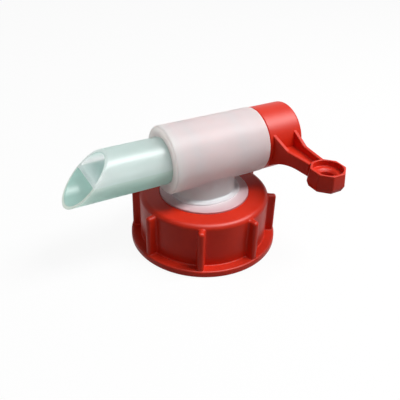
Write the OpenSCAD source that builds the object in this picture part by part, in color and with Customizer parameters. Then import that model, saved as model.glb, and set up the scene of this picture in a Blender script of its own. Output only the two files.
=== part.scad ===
// Jerrycan tap: a screw cap carries a swivelling tap body, in which a lever turns a hollow
// valve plug together with its pouring spout. The cap stands on z = 0 with its axis on Z.
// The barrel lies along X with the spout towards -X, and the lever points towards -Y when shut.

/* [Neck thread] */
// Diameter across the roots of the thread in the cap
thread_root_d = 61.4; // [50:0.1:75]
// Radial depth of the thread
thread_depth = 1.4; // [0.8:0.1:2]
// Rise of the thread in one turn
thread_pitch = 6; // [4:0.5:8]
// Height of the threaded wall
thread_h = 18; // [14:0.5:24]

/* [Cap] */
// Wall of the cap outside the thread
cap_wall = 1.8; // [1.4:0.1:4]
// Thickness of the cap's top plate
plate_t = 2.6; // [2:0.1:5]
// Round on the cap's top edge
cap_edge = 1.8; // [0.5:0.1:2]
// Ledge of the base rim outside the wall
rim_out = 5; // [3:0.1:8]
// Height of the base rim
rim_h = 3.6; // [2:0.1:6]
// Round on the edges of the base rim
rim_edge = 0.9; // [0.2:0.1:0.9]
// Number of grip ribs
rib_count = 8; // [6:1:16]
// Turn of the first rib from +X, in degrees
rib_turn = 13.7; // [0:0.1:45]
// Width of a grip rib
rib_w = 3.3; // [2:0.1:6]
// How far a rib stands out at its foot
rib_out = 4.4; // [2:0.1:4.8]
// How much less it stands out at its top
rib_lean = 0.3; // [0:0.1:1.2]
// Round on a rib's upper corner
rib_nose = 1.4; // [0.3:0.1:1.6]
// How far a rib's top lies below the cap's top
rib_drop = 1.5; // [1:0.1:4]

/* [Tap body] */
// Diameter of the swivel boss in the cap's hole
boss_d = 44.8; // [40:0.1:50]
// How far the boss stands out of the cap
boss_proud = 0.8; // [0.3:0.1:3]
// Thickness of the flange under the cap's plate
flange_t = 3.1; // [2:0.1:6]
// Half width of the oval neck
neck_r = 13.4; // [12:0.1:16]
// Half of the straight stretch of the oval neck
neck_stretch = 2.1; // [0.5:0.1:5]
// Free height of the neck between boss and barrel
neck_h = 5; // [2:0.1:20]
// Ledge of the step round the foot of the neck
step_out = 2.6; // [1:0.1:4]
// Height of that step
step_h = 0.8; // [0.3:0.1:2]
// Radius of the passage through the neck
neck_bore_r = 9; // [7:0.1:10]
// Wall of the barrel
barrel_wall = 2.4; // [2:0.1:5]
// Thickness of the barrel's front wall
front_wall = 2.5; // [1.5:0.1:5]
// Round on the barrel's edges
barrel_edge = 0.9; // [0.3:0.1:1.2]
// Barrel behind the rear seal of the plug
barrel_tail = 15; // [12:0.1:25]

/* [Spout] */
// Outside diameter of the spout
spout_od = 22.4; // [20:0.1:28]
// Wall of the spout
spout_wall = 1.45; // [1:0.05:2.5]
// Thickness of the wall that divides liquid and air
divider_t = 1.3; // [0.8:0.1:2]
// Height of the dividing wall above the axis
divider_up = 1.2; // [0:0.1:3]
// Reach of the mouth's middle from the neck's axis
spout_reach = 60.3; // [50:0.1:90]
// Slant of the mouth, in degrees from square
mouth_slant = 43.8; // [0:0.1:50]
// Depth of the spout's seat in the plug
spout_seat = 6; // [4:0.1:12]
// How much smaller the spout is inside the barrel, in radius
spout_step = 0.25; // [0.1:0.05:0.6]

/* [Valve plug] */
// Wall of the plug round the spout
plug_wall = 2.75; // [2:0.05:4]
// Thickness of the plug's end wall
plug_end = 3; // [2:0.1:6]
// Section diameter of the seals
o_ring_d = 2; // [1.5:0.1:2.4]
// Land between the port and a seal's groove
seal_land = 1.8; // [1:0.1:4]
// Land between the front seal and the spout's seat
seat_land = 2.4; // [1.5:0.1:5]
// Height of the snap bead that keeps the plug in the barrel
bead_h = 0.5; // [0.3:0.1:0.8]
// Across flats of the hexagonal stem
stem_af = 14; // [10:0.1:16]
// Length of the stem in the handle
stem_len = 13; // [6:0.1:15]

/* [Soft parts] */
// Thickness of the neck gasket
gasket_t = 2.5; // [1.5:0.1:4]
// Width of the gasket's ring
gasket_w = 7; // [4:0.1:9]
// Width of the seat ring round the port
port_seal_w = 1.8; // [1:0.1:3]
// Thickness of the seat ring
port_seal_t = 1.2; // [0.8:0.1:1.6]

/* [Handle] */
// Length of the handle's hub
hub_len = 19.4; // [16:0.1:30]
// How much smaller the hub is than the barrel, in radius
hub_step = 0.25; // [0:0.05:0.6]
// Wall of the hub
hub_wall = 2.3; // [1.8:0.1:4]
// Round on the hub's rear edge
hub_edge = 1.5; // [0.3:0.1:2]
// Distance of the arm's middle from the hub's front
arm_in = 9; // [8:0.1:16]
// Distance of the eye from the barrel's axis
lever_reach = 45.8; // [40:0.1:80]
// Width of the arm, drawn on to the barrel's axis
arm_w = 17.2; // [12:0.1:17.6]
// Width of the arm, drawn on to the eye's middle
arm_tip_w = 7.9; // [7:0.1:12]
// Thickness of the arm's two webs
web_t = 2; // [1:0.1:2.5]
// Thickness of the arm's floor
arm_floor = 3.1; // [1:0.1:4]
// Height of the arm's upper edge above the axis
arm_top = 3.5; // [2:0.1:6]
// Depth of the arm's lower edge below the axis
arm_low = 2.9; // [1.5:0.1:6]
// Radius of the hollow curve between the hub and that edge
arm_fillet = 30; // [10:1:36]
// Length of the arm's slope down from the hub
arm_slope = 10.2; // [6:0.1:14]
// Height above the axis where the arm leaves the hub
arm_root = 7.6; // [5:0.1:10]
// Width of the octagonal eye across the flats of its top
eye_af = 15.4; // [12:0.1:20]
// Height of the eye
eye_h = 8.5; // [6:0.1:12]
// How much wider the eye is above its lower chamfer, on each side
eye_draft = 0.6; // [0:0.1:0.8]
// Chamfer on the eye's lower edge
eye_chamfer = 0.9; // [0.3:0.1:2]
// Least width of the rim round the eye's recess
eye_rim = 0.9; // [0.7:0.1:2.5]
// Depth of the recess
eye_recess = 2.9; // [1.5:0.1:4]
// How far the eye stands above the arm
eye_up = 0.8; // [0:0.1:2]
// Radius of the hole through the eye
eye_hole_r = 3.4; // [2:0.1:4]
// Width of the countersink round that hole
eye_sink = 1.1; // [0.3:0.1:1.5]
// Turn of the lever between shut and open, in degrees
lever_turn = 90; // [60:1:120]

/* [Clearances] */
// Radial clearance of turning fits
running_gap = 0.05; // [0.02:0.01:0.1]
// End play between turning faces
end_play = 0.2; // [0.1:0.05:0.4]
// Clearance round the soft parts and the stem
seat_gap = 0.05; // [0.02:0.01:0.2]
// Clearance of the snap bead and the turning stop
snap_gap = 0.2; // [0.1:0.05:0.4]
// Clearance of the flange and gasket in the cap's wall
flange_gap = 0.35; // [0.2:0.05:0.8]

/* [Hidden] */
$fn = 96;
// Overlap that lets a cut break through a face
cut = 1;
// Steps in a quarter of a rounded outline
quarter = 6;

// Cap
root_r = thread_root_d / 2;
crest_r = root_r - thread_depth;
cap_r = root_r + cap_wall;
rim_r = cap_r + rim_out;
gasket_z = thread_h + end_play / 2;
flange_z = gasket_z + gasket_t;
plate_z = flange_z + flange_t + end_play / 2;
cap_h = plate_z + plate_t;
boss_r = boss_d / 2;
boss_top = cap_h + boss_proud;
flange_r = crest_r - flange_gap;
// Shares of the pitch that the thread's groove takes at its mouth and at its floor
groove_mouth = 0.64;
groove_floor = 0.32;
groove_half = groove_mouth * thread_pitch / 2;
groove_floor_half = groove_floor * thread_pitch / 2;
// Steps in a turn of the groove, and those over which it runs out at its upper end
thread_steps = 20;
runout_steps = 4;
thread_start = -thread_pitch / 2;
thread_turns = (thread_h - thread_pitch / 2 - thread_start) / thread_pitch;

// Plug and barrel, measured along the barrel from the neck's axis
spout_r = spout_od / 2;
spigot_r = spout_r - spout_step;
channel_r = spout_r - spout_wall;
plug_r = spigot_r + plug_wall;
bore_r = plug_r + running_gap;
barrel_r = bore_r + barrel_wall;
// How much smaller the plug's port is than the neck's passage, in radius
port_lip = 0.5;
port_r = neck_bore_r - port_lip;
groove_w = o_ring_d + 2 * snap_gap;
seal_x = neck_bore_r + seal_land + groove_w / 2;
seat_x = -seal_x - seat_land;
plug_front = seat_x - spout_seat;
barrel_front = plug_front - end_play - front_wall;
shoulder_x = barrel_front - end_play;
barrel_rear = seal_x + barrel_tail;
channel_end = seal_x - groove_w / 2;
core_x = channel_end + plug_end + groove_w;
bead_x = barrel_rear - barrel_tail / 2;
axis_h = boss_top + neck_h + barrel_r;

// Turning stop: a lug on the hub runs in a recess of the barrel's rear edge
stop_depth = 2.5;
// Width of the lug, in degrees
lug_angle = 20;
stop_r = bore_r + barrel_wall / 2;
stop_play = asin(snap_gap / bore_r);

// Handle
hub_x = barrel_rear + end_play;
hub_end = hub_x + hub_len;
hub_r = barrel_r - hub_step;
lever_x = hub_x + arm_in;
stem_r = stem_af / 2 / cos(30);
eye_turn = 22.5;
eye_r = eye_af / 2 / cos(eye_turn);
eye_top = arm_top + eye_up;

// Points of an arc, as [x, y]
function arc(x, y, r, from, to) =
    [for (i = [0:quarter]) let (a = from + (to - from) * i / quarter) [x + r * cos(a), y + r * sin(a)]];

// Corner points of the thread's groove at step i: two on the inside, two on the floor
function groove_ring(i) =
    let (a = 360 * i / thread_steps,
         z = thread_start + thread_pitch * i / thread_steps,
         left = thread_turns * thread_steps - i,
         depth = thread_depth * min(1, (left + 1) / runout_steps),
         spread = (groove_half - groove_floor_half) / thread_depth,
         inner = crest_r - cut,
         outer = crest_r + depth,
         half_in = groove_half + spread * cut,
         half_out = groove_half - spread * depth)
    [for (p = [[inner, -half_in], [outer, -half_out], [outer, half_out], [inner, half_in]])
        [p[0] * cos(a), p[0] * sin(a), z + p[1]]];

// Places its children along the barrel: their z runs along the axis, towards the handle
module on_axis() {
    translate([0, 0, axis_h]) rotate([0, 90, 0]) children();
}

// Ring between two radii, from z0 to z1
module ring(inner_r, outer_r, z0, z1) {
    translate([0, 0, z0]) difference() {
        cylinder(r = outer_r, h = z1 - z0);
        translate([0, 0, -cut]) cylinder(r = inner_r, h = z1 - z0 + 2 * cut);
    }
}

// Part of such a ring between two angles
module ring_part(inner_r, outer_r, z0, z1, from, to) {
    rotate([0, 0, from]) rotate_extrude(angle = to - from)
        translate([inner_r, z0]) square([outer_r - inner_r, z1 - z0]);
}

// Upright prism with the oval outline of the neck
module oval(r, h) {
    linear_extrude(h) polygon(concat(
        arc(neck_stretch, 0, r, -90, 0), arc(neck_stretch, 0, r, 0, 90),
        arc(-neck_stretch, 0, r, 90, 180), arc(-neck_stretch, 0, r, 180, 270)));
}

// Helical groove that leaves the thread standing between its turns
module thread_groove() {
    last = floor(thread_turns * thread_steps);
    points = [for (i = [0:last]) each groove_ring(i)];
    sides = [for (i = [0:last - 1], k = [0:3])
        let (a = 4 * i + k, b = 4 * i + (k + 1) % 4) each [[a, b, a + 4], [b, b + 4, a + 4]]];
    ends = [[0, 2, 1], [0, 3, 2], [4 * last, 4 * last + 1, 4 * last + 2],
            [4 * last, 4 * last + 2, 4 * last + 3]];
    polyhedron(points, concat(sides, ends));
}

module grip_rib() {
    foot = cap_r + rib_out;
    top = cap_h - rib_drop;
    rotate([90, 0, 0]) linear_extrude(rib_w, center = true) polygon(concat(
        [[cap_r - cap_wall / 2, rim_h / 2], [foot, rim_h / 2], [foot, rim_h]],
        arc(foot - rib_lean - rib_nose, top - rib_nose, rib_nose, 0, 90),
        [[cap_r - cap_wall / 2, top]]));
}

module screw_cap() {
    color("#c5301f") difference() {
        union() {
            rotate_extrude() polygon(concat(
                [[crest_r, 0]],
                arc(rim_r - rim_edge, rim_edge, rim_edge, -90, 0),
                arc(rim_r - rim_edge, rim_h - rim_edge, rim_edge, 0, 90),
                [[cap_r, rim_h]],
                arc(cap_r - cap_edge, cap_h - cap_edge, cap_edge, 0, 90),
                [[boss_r + running_gap, cap_h], [boss_r + running_gap, plate_z],
                 [root_r, plate_z], [root_r, thread_h], [crest_r, thread_h]]));
            for (i = [0:rib_count - 1]) rotate([0, 0, rib_turn + i * 360 / rib_count]) grip_rib();
        }
        thread_groove();
    }
}

module neck_gasket() {
    outer_r = root_r - flange_gap;
    color("#d8d4c8") ring(outer_r - gasket_w, outer_r, gasket_z, flange_z);
}

// Room for the seat ring round the top of the neck's passage, grown by gap
module port_ring(gap) {
    outer_r = neck_bore_r + port_seal_w + gap;
    intersection() {
        ring(neck_bore_r, outer_r, boss_top, axis_h);
        on_axis() ring(bore_r, bore_r + port_seal_t + gap, -outer_r - cut, outer_r + cut);
    }
}

module port_seal() {
    color("#3a3a3a") port_ring(0);
}

module neck_divider() {
    wide = 2 * neck_bore_r + barrel_wall;
    translate([-wide / 2, divider_up - divider_t / 2, flange_z])
        cube([wide, divider_t, axis_h - flange_z]);
}

module barrel_shell() {
    rotate_extrude() polygon(concat(
        [[0, barrel_front]],
        arc(barrel_r - barrel_edge, barrel_front + barrel_edge, barrel_edge, -90, 0),
        arc(barrel_r - barrel_edge / 2, barrel_rear - barrel_edge / 2, barrel_edge / 2, 0, 90),
        [[0, barrel_rear]]));
}

module tap_body() {
    color("#e6dcd8") difference() {
        union() {
            difference() {
                union() {
                    translate([0, 0, flange_z]) cylinder(r = flange_r, h = flange_t);
                    translate([0, 0, flange_z]) cylinder(r = boss_r, h = boss_top - flange_z);
                    translate([0, 0, flange_z]) oval(neck_r + step_out, boss_top + step_h - flange_z);
                    translate([0, 0, flange_z]) oval(neck_r, axis_h - flange_z);
                    on_axis() barrel_shell();
                }
                translate([0, 0, flange_z - cut]) cylinder(r = neck_bore_r, h = axis_h - flange_z + cut);
            }
            neck_divider();
        }
        on_axis() {
            inner_x = barrel_front + front_wall;
            bead_room = bead_h + snap_gap;
            stop_half = lug_angle / 2 + stop_play;
            stop_x = barrel_rear - stop_depth - snap_gap;
            translate([0, 0, inner_x]) cylinder(r = bore_r, h = barrel_rear - inner_x + cut);
            translate([0, 0, barrel_front - cut])
                cylinder(r = spigot_r + running_gap, h = front_wall + 2 * cut);
            ring(plug_r - cut, bore_r + bead_room, bead_x - bead_room, bead_x + bead_room);
            ring_part(plug_r - cut, stop_r + snap_gap, stop_x, barrel_rear + cut,
                      180 - lever_turn - stop_half, 180 + stop_half);
        }
        port_ring(seat_gap);
    }
}

// Groove of a seal, round the plug at x
module seal_groove(x) {
    ring(plug_r - o_ring_d, plug_r + cut, x - groove_w / 2, x + groove_w / 2);
}

module o_ring(x) {
    on_axis() translate([0, 0, x]) rotate_extrude() translate([plug_r - o_ring_d / 2 + seat_gap / 2, 0])
        circle(d = o_ring_d - seat_gap, $fn = 32);
}

// Wall between liquid and air in the plug's channel, which goes on through the port
module plug_divider() {
    low = axis_h + divider_up - divider_t / 2;
    half = channel_r + cut / 2;
    port_half = port_r + cut / 2;
    translate([seat_x, -half, low]) cube([channel_end - seat_x, 2 * half, divider_t]);
    intersection() {
        on_axis() translate([0, 0, -seal_x]) cylinder(r = plug_r, h = 2 * seal_x);
        translate([-port_half, 0, low]) cube([2 * port_half, plug_r + cut, divider_t]);
    }
}

module valve_plug() {
    color("#c8402f") {
        difference() {
            on_axis() {
                translate([0, 0, plug_front]) cylinder(r = plug_r, h = hub_x - plug_front);
                rotate_extrude() polygon(arc(plug_r, bead_x, bead_h, -90, 90));
                translate([0, 0, hub_x]) cylinder(r = stem_r, h = stem_len, $fn = 6);
            }
            on_axis() {
                translate([0, 0, plug_front - cut])
                    cylinder(r = spigot_r + seat_gap, h = spout_seat + cut);
                translate([0, 0, seat_x - cut])
                    cylinder(r = channel_r, h = channel_end - seat_x + cut);
                seal_groove(-seal_x);
                seal_groove(seal_x);
                ring(stem_r, plug_r - plug_wall, core_x, hub_x + cut);
            }
            translate([0, 0, axis_h]) rotate([-90, 0, 0]) cylinder(r = port_r, h = plug_r + cut);
        }
        plug_divider();
    }
}

module front_o_ring() {
    color("#2b2b2b") o_ring(-seal_x);
}

module rear_o_ring() {
    color("#2b2b2b") o_ring(seal_x);
}

module spout_tube() {
    long = spout_reach + seat_x + spout_od;
    color("#cfe0dc") difference() {
        union() {
            on_axis() ring(channel_r, spout_r, seat_x - long, shoulder_x);
            on_axis() ring(channel_r, spigot_r, shoulder_x - cut, seat_x);
            translate([seat_x - long, -channel_r - spout_wall / 2, axis_h + divider_up - divider_t / 2])
                cube([long, 2 * channel_r + spout_wall, divider_t]);
        }
        translate([-spout_reach, 0, axis_h]) rotate([0, mouth_slant, 0])
            translate([-2 * long, -long, -long]) cube(2 * long);
    }
}

module hub() {
    on_axis() difference() {
        rotate_extrude() polygon(concat(
            [[0, hub_x], [hub_r - barrel_edge / 2, hub_x], [hub_r, hub_x + barrel_edge / 2]],
            arc(hub_r - hub_edge, hub_end - hub_edge, hub_edge, 0, 90),
            [[0, hub_end]]));
        translate([0, 0, hub_x - cut]) cylinder(r = stem_r + seat_gap, h = stem_len + cut, $fn = 6);
        ring(stem_r + hub_wall, hub_r - hub_wall, hub_x - cut, hub_x + stem_len);
    }
}

module stop_lug() {
    on_axis() ring_part(bore_r + snap_gap, stop_r, barrel_rear - stop_depth, hub_x + hub_wall,
                        180 - lug_angle / 2, 180 + lug_angle / 2);
}

// Side of the arm: straight slope and level edge above, hollow curve below that leaves the hub smoothly
module arm_side() {
    root_y = sqrt(hub_r * hub_r - arm_root * arm_root);
    inside = hub_r - hub_wall;
    curve_z = -arm_low - arm_fillet;
    curve_y = sqrt(pow(hub_r + arm_fillet, 2) - curve_z * curve_z);
    hub_turn = atan2(-curve_z, curve_y);
    rotate([90, 0, 90]) linear_extrude(arm_w * 2, center = true) polygon(concat(
        [[-inside, arm_root], [-root_y, arm_root], [-root_y - arm_slope, arm_top],
         [-lever_reach, arm_top], [-lever_reach, -arm_low]],
        arc(-curve_y, curve_z, arm_fillet, 90, hub_turn),
        [[-inside * cos(hub_turn), -inside * sin(hub_turn)]]));
}

// Plan of the arm, narrowed by inset on both sides
module arm_plan(inset, h) {
    linear_extrude(h, center = true) polygon([
        [-arm_w / 2 + inset, 0], [arm_w / 2 - inset, 0],
        [arm_tip_w / 2 - inset, -lever_reach], [-arm_tip_w / 2 + inset, -lever_reach]]);
}

module arm() {
    tall = 4 * hub_r;
    floor_z = arm_floor - arm_low;
    difference() {
        intersection() {
            arm_side();
            arm_plan(0, tall);
        }
        translate([0, 0, floor_z + tall / 2]) arm_plan(web_t, tall);
    }
}

// Octagonal block of the eye, with drafted sides above the chamfer
module eye_blank() {
    wide_r = eye_r + eye_draft;
    translate([0, 0, eye_top - eye_h]) rotate([0, 0, eye_turn]) {
        cylinder(r1 = wide_r - eye_chamfer, r2 = wide_r, h = eye_chamfer, $fn = 8);
        translate([0, 0, eye_chamfer]) cylinder(r1 = wide_r, r2 = eye_r, h = eye_h - eye_chamfer, $fn = 8);
    }
}

// Round recess, countersink and hole of the eye
module eye_hollow() {
    floor_z = eye_top - eye_recess;
    translate([0, 0, floor_z]) cylinder(r = eye_af / 2 - eye_rim, h = eye_recess + cut);
    translate([0, 0, floor_z - eye_sink])
        cylinder(r1 = eye_hole_r, r2 = eye_hole_r + eye_sink, h = eye_sink);
    translate([0, 0, eye_top - eye_h - cut]) cylinder(r = eye_hole_r, h = eye_h);
}

module lever_handle() {
    eye_at = [lever_x, -lever_reach, axis_h];
    color("#c5301f") {
        difference() {
            union() {
                difference() {
                    translate([lever_x, 0, axis_h]) arm();
                    on_axis() translate([0, 0, hub_x - cut])
                        cylinder(r = hub_r - hub_wall / 2, h = hub_len + 2 * cut);
                }
                hub();
                translate(eye_at) eye_blank();
            }
            translate(eye_at) eye_hollow();
        }
        stop_lug();
    }
}

screw_cap();
neck_gasket();
tap_body();
port_seal();
valve_plug();
front_o_ring();
rear_o_ring();
spout_tube();
lever_handle();
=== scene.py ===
import math

import bmesh
import bpy
import numpy as np
from mathutils import Matrix, Vector
from mathutils.geometry import tessellate_polygon


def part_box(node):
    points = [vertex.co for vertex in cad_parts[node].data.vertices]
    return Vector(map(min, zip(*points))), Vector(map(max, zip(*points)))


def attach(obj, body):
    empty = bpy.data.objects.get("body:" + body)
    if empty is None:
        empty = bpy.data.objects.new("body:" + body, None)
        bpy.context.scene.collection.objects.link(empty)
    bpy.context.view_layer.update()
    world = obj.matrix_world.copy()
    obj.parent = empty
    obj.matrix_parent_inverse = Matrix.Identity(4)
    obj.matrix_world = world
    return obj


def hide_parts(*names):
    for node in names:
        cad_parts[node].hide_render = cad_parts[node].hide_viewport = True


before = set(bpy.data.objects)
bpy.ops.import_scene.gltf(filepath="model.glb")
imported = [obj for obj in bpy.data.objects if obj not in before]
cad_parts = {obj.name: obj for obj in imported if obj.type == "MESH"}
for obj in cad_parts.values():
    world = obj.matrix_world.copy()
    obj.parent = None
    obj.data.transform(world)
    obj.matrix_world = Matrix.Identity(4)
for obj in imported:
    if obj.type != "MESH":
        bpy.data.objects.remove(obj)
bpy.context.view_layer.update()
mm = 0.001  # meshes are worked out in millimetres and made in metres
scene = bpy.context.scene


# where the CAD pieces are, in millimetres
def nodeBox(node):
    low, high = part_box(node)
    return low / mm, high / mm


capHigh = nodeBox("screw_cap")[1]
bodyLow, bodyHigh = nodeBox("tap_body")
spoutLow, spoutHigh = nodeBox("spout_tube")
leverHigh = nodeBox("lever_handle")[1]
plugFront = nodeBox("valve_plug")[0].x
rimR = capHigh.x
capTop = capHigh.z
spoutR = spoutHigh.y
axisZ = (spoutLow.z + spoutHigh.z) / 2  # height of the barrel's axis
barrelR = bodyHigh.z - axisZ
hubR = leverHigh.y
hubEnd = leverHigh.x

# mesh tools
meshSteps = {"round": 128, "barrel": 144, "neck": 96, "relief": 96, "ringPart": 24, "channel": 40, "edge": 4}
weldGap = 0.002 * mm  # points closer than this become one
overlap = 2.0  # how far joined pieces and cutters reach into or past each other


def angles(start, end, steps):
    return np.radians(np.linspace(start, end, steps + 1))


def arc(x, y, r, start, end, steps):
    return [(x + r * math.cos(a), y + r * math.sin(a)) for a in angles(start, end, steps)]


def weld(piece):  # merges doubles, then turns the faces outwards
    bm = bmesh.new()
    bm.from_mesh(piece.data)
    bmesh.ops.remove_doubles(bm, verts=bm.verts, dist=weldGap)
    bmesh.ops.recalc_face_normals(bm, faces=bm.faces)
    bm.to_mesh(piece.data)
    bm.free()


def newPiece(name, points, faces):
    mesh = bpy.data.meshes.new(name)
    mesh.from_pydata((np.array(points, float) * mm).tolist(), [], faces)
    piece = bpy.data.objects.new(name, mesh)
    scene.collection.objects.link(piece)
    return piece


def gridFaces(rows, columns, ring, tube):  # ring closes each row, tube joins the last row to the first
    faces = []
    for i in range(rows if tube else rows - 1):
        here = i * columns
        above = (i + 1) % rows * columns
        for k in range(columns if ring else columns - 1):
            beside = (k + 1) % columns
            faces.append((here + k, here + beside, above + beside, above + k))
    return faces


def loft(name, rows, ring=True, tube=False, caps=False):
    count = len(rows[0])
    faces = gridFaces(len(rows), count, ring, tube)
    if caps:
        faces += [list(range(count)), list(range(count * (len(rows) - 1), count * len(rows)))]
    piece = newPiece(name, np.vstack(rows), faces)
    weld(piece)
    return piece


# profile is [(radius, place along the axis)]
def revolve(name, profile, along="z", steps=meshSteps["round"]):
    turn = angles(0, 360, steps)[:-1]
    rows = []
    for r, place in profile:
        level = np.full(steps, place)
        first = r * np.cos(turn)
        second = r * np.sin(turn)
        rows.append(np.stack((first, second, level) if along == "z" else (level, first, second + axisZ), 1))
    return loft(name, rows, tube=profile[0][0] > 0)


# part of a ring round the barrel's axis, between two angles that count from +Y towards +Z
def ringPart(name, inner, outer, front, rear, start, end):
    corners = ((inner, front), (outer, front), (outer, rear), (inner, rear))
    rows = []
    for a in angles(start, end, meshSteps["ringPart"]):
        rows.append(np.array([(x, r * math.cos(a), axisZ + r * math.sin(a)) for r, x in corners]))
    return loft(name, rows, caps=True)


def settle(piece):  # turns the modifiers' result into a plain mesh
    depsgraph = bpy.context.evaluated_depsgraph_get()
    mesh = bpy.data.meshes.new_from_object(piece.evaluated_get(depsgraph))
    piece.modifiers.clear()
    piece.data = mesh


def combine(piece, tool, operation):
    modifier = piece.modifiers.new(operation.lower(), "BOOLEAN")
    modifier.operation = operation
    modifier.solver = "EXACT"
    modifier.object = tool
    settle(piece)
    weld(piece)
    bpy.data.objects.remove(tool)


def finishPiece(piece, node, body, material, sharp):  # edges sharper than this angle stay hard
    weld(piece)
    piece.data.materials.clear()
    piece.data.materials.append(material)
    piece.data.shade_smooth()
    piece.data.set_sharp_from_angle(angle=math.radians(sharp))
    weighted = piece.modifiers.new("large faces lead", "WEIGHTED_NORMAL")  # so flats beside rounds stay flat
    weighted.keep_sharp = True
    settle(piece)
    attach(piece, body)
    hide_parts(node)
    print(piece.name, "stands for", node, "with", len(piece.data.polygons), "faces")


# node tools
def srgb(text):  # hex colour to linear
    parts = [int(text[i:i + 2], 16) / 255 for i in (1, 3, 5)]
    return [p / 12.92 if p <= 0.04045 else ((p + 0.055) / 1.055) ** 2.4 for p in parts] + [1]


def addNode(tree, kind, inputs=None, **settings):
    node = tree.nodes.new(kind)
    for key, value in settings.items():
        setattr(node, key, value)
    for key, value in (inputs or {}).items():
        if isinstance(value, bpy.types.NodeSocket):
            tree.links.new(value, node.inputs[key])
        else:
            node.inputs[key].default_value = value
    return node


def newMaterial(name):
    material = bpy.data.materials.new(name)
    material.use_nodes = True
    material.node_tree.nodes.clear()
    return material, material.node_tree


def perMm(size):  # noise scale in metres for a feature of this many millimetres
    return 1 / (size * mm)


def fromTo(zero, span):  # where a fade starts and ends, in millimetres from a zero point
    return {"From Min": (zero + span[0]) * mm, "From Max": (zero + span[1]) * mm}


# red HDPE, injection moulded: saturated, satin, faintly cloudy, with a fine matt grain
redHdpe = {"deep": "#c4220d", "bright": "#d42f15", "cloud": 9.0, "cloudDetail": 3.0, "cloudRoughness": 0.6,
           "grain": 0.35, "grainDetail": 2.0, "grainHeight": 0.012, "grainStrength": 0.35,
           "roughness": (0.36, 0.44), "ior": 1.54, "specular": 0.16}


def makeRedHdpe():
    look = redHdpe
    material, tree = newMaterial("red moulded HDPE")
    place = addNode(tree, "ShaderNodeTexCoord").outputs["Object"]
    cloud = addNode(tree, "ShaderNodeTexNoise", {
        "Vector": place, "Scale": perMm(look["cloud"]), "Detail": look["cloudDetail"],
        "Roughness": look["cloudRoughness"]}).outputs["Fac"]
    colour = addNode(tree, "ShaderNodeMix", {
        "Factor": cloud, "A": srgb(look["deep"]), "B": srgb(look["bright"])},
        data_type="RGBA").outputs["Result"]
    rough = addNode(tree, "ShaderNodeMapRange", {
        "Value": cloud, "To Min": look["roughness"][0], "To Max": look["roughness"][1]}).outputs["Result"]
    grain = addNode(tree, "ShaderNodeTexNoise", {
        "Vector": place, "Scale": perMm(look["grain"]), "Detail": look["grainDetail"]}).outputs["Fac"]
    bump = addNode(tree, "ShaderNodeBump", {
        "Height": grain, "Strength": look["grainStrength"],
        "Distance": look["grainHeight"] * mm}).outputs["Normal"]
    plastic = addNode(tree, "ShaderNodeBsdfPrincipled", {
        "Base Color": colour, "Roughness": rough, "Normal": bump, "IOR": look["ior"],
        "Specular IOR Level": look["specular"]}).outputs[0]
    addNode(tree, "ShaderNodeOutputMaterial", {"Surface": plastic})
    return material


redPlastic = makeRedHdpe()

# natural HDPE, injection moulded: milky and faintly cloudy, and light passes through its walls,
# so that the red plug inside tints the barrel pink
# painted shade: the wall's colour over the plug is a little darker and cooler than the milk colour
naturalHdpe = {"milk": "#f2f7fa", "paintedPlugShade": "#eaf2f7", "shining": "#f7f7f4", "capRedLight": "#c98187",
               "cloud": 7.0, "cloudDetail": 3.0, "patchSpan": (0.25, 0.75), "patchLeast": 0.75,
               "grain": 0.4, "grainDetail": 2.0, "grainHeight": 0.01, "grainStrength": 0.3,
               "roughness": 0.38, "ior": 1.54, "specular": 0.22, "through": 0.64, "throughFlange": 0.1,
               "flangeFade": (1.0, 3.0),  # above the cap's top
               "plugFrontFade": (-0.9, 1.1),  # from the plug's front end
               "plugRearFade": (25.2, 23.2),  # along the barrel
               "plugLowFade": (-1.0, 2.0),  # above the barrel's lowest line
               "capRedLightFade": (2.0, 0.3),  # above the cap's top; this fades the painted red light from the cap
               "capRedLightSpan": (9.0, 24.0)}  # from the cap's axis


def paintedPlugShade(tree, part, cloud):  # painted shade of the plug behind the wall: a patchy 1 where the plug lies behind the wall, and 0 elsewhere
    look = naturalHdpe
    amount = addNode(tree, "ShaderNodeMapRange", {
        "Value": cloud, "From Min": look["patchSpan"][0], "From Max": look["patchSpan"][1],
        "To Min": look["patchLeast"], "To Max": 1.0}).outputs["Result"]
    for axis, zero, fade in (("X", plugFront, "plugFrontFade"), ("X", 0, "plugRearFade"),
                             ("Z", axisZ - barrelR, "plugLowFade")):
        near = addNode(tree, "ShaderNodeMapRange", {"Value": part[axis], **fromTo(zero, look[fade])},
                       interpolation_type="SMOOTHSTEP").outputs["Result"]
        amount = addNode(tree, "ShaderNodeMath", {0: amount, 1: near}, operation="MULTIPLY").outputs[0]
    return amount


def capRedLightAmount(tree, part):  # how much painted red light from the cap there is: it grows towards the boss's edge, beside the red cap
    look = naturalHdpe
    flat = addNode(tree, "ShaderNodeCombineXYZ", {"X": part["X"], "Y": part["Y"]}).outputs[0]
    radius = addNode(tree, "ShaderNodeVectorMath", {0: flat}, operation="LENGTH").outputs["Value"]
    low = addNode(tree, "ShaderNodeMapRange", {
        "Value": part["Z"], **fromTo(capTop, look["capRedLightFade"])}).outputs["Result"]
    wide = addNode(tree, "ShaderNodeMapRange", {"Value": radius, **fromTo(0, look["capRedLightSpan"])},
                   interpolation_type="SMOOTHSTEP").outputs["Result"]
    return addNode(tree, "ShaderNodeMath", {0: low, 1: wide}, operation="MULTIPLY").outputs[0]


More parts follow.
